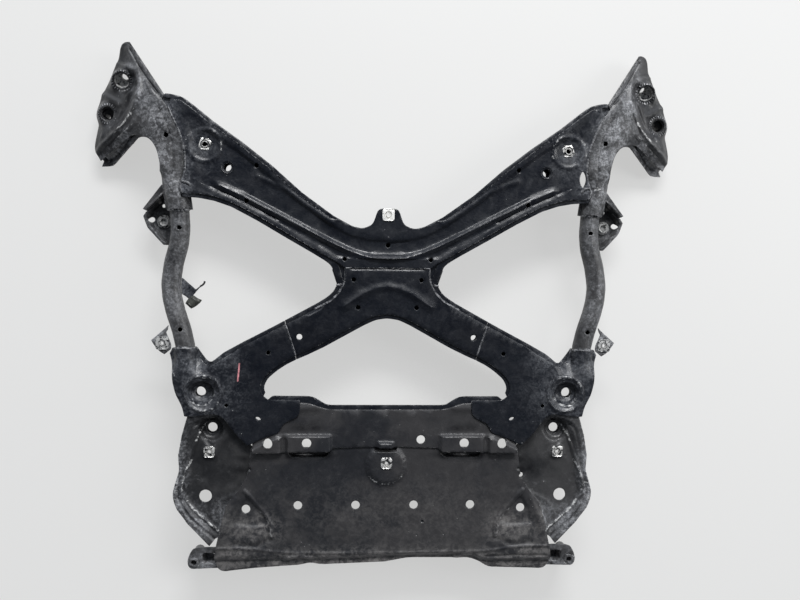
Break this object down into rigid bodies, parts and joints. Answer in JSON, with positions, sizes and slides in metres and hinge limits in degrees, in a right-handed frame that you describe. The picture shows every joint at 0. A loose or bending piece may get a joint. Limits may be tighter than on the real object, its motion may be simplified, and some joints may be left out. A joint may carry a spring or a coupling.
{
  "type": "subframe",
  "caption": "Front suspension subframe of welded sheet-steel pressings: X-shaped beam, two horns, bent side tubes, rear tray with a large cover panel and dished side wings.",
  "frame": {"origin": "centre of the bounding box in plan, at the level of the lowest body-mount faces", "axes": "+X towards the right side of the picture, +Y towards the two horns, +Z out of the pictured face, which is the road side on the vehicle"},
  "size_m": [1.0326, 0.9263, 0.092],
  "materials": {
    "black_steel": "worn black dip paint with dust and scuffs",
    "grey_steel": "dusty black paint, scuffed grey",
    "zinc": "dull zinc plate",
    "clip_plastic": "dark grey moulded plastic"
  },
  "bodies": {
    "root": {"arm_bracket_left": "grey_steel", "arm_bracket_right": "grey_steel", "arm_nut_left": "zinc", "arm_nut_right": "zinc", "beam_clip_nut_left": "zinc", "beam_clip_nut_right": "zinc", "centre_plate_lower": "black_steel", "centre_plate_upper": "black_steel", "cover_clip_nut": "zinc", "front_beam_lower": "black_steel", "front_beam_upper": "black_steel", "harness_bracket": "black_steel", "harness_clip": "clip_plastic", "horn_collar_lower_left": "grey_steel", "horn_collar_lower_right": "grey_steel", "horn_collar_upper_left": "grey_steel", "horn_collar_upper_right": "grey_steel", "horn_lower_left": "grey_steel", "horn_lower_right": "grey_steel", "horn_upper_left": "grey_steel", "horn_upper_right": "grey_steel", "rear_channel": "black_steel", "rear_corner_lower_left": "black_steel", "rear_corner_lower_right": "black_steel", "rear_corner_upper_left": "black_steel", "rear_corner_upper_right": "black_steel", "rear_cover_panel": "black_steel", "rear_eye_bracket_left": "grey_steel", "rear_eye_bracket_right": "grey_steel", "rear_eye_left": "grey_steel", "rear_eye_right": "grey_steel", "rear_inner_collar_left": "grey_steel", "rear_inner_collar_right": "grey_steel", "rear_mount_collar_left": "grey_steel", "rear_mount_collar_right": "grey_steel", "rear_tray": "black_steel", "rear_wing_left": "grey_steel", "rear_wing_right": "grey_steel", "side_tube_left": "grey_steel", "side_tube_right": "grey_steel", "tab_clip_nut": "zinc", "undertray_bracket_left": "grey_steel", "undertray_bracket_right": "grey_steel", "undertray_clip_nut_left": "zinc", "undertray_clip_nut_right": "zinc", "wing_clip_nut_left": "zinc", "wing_clip_nut_right": "zinc"}
  },
  "joints": []
}
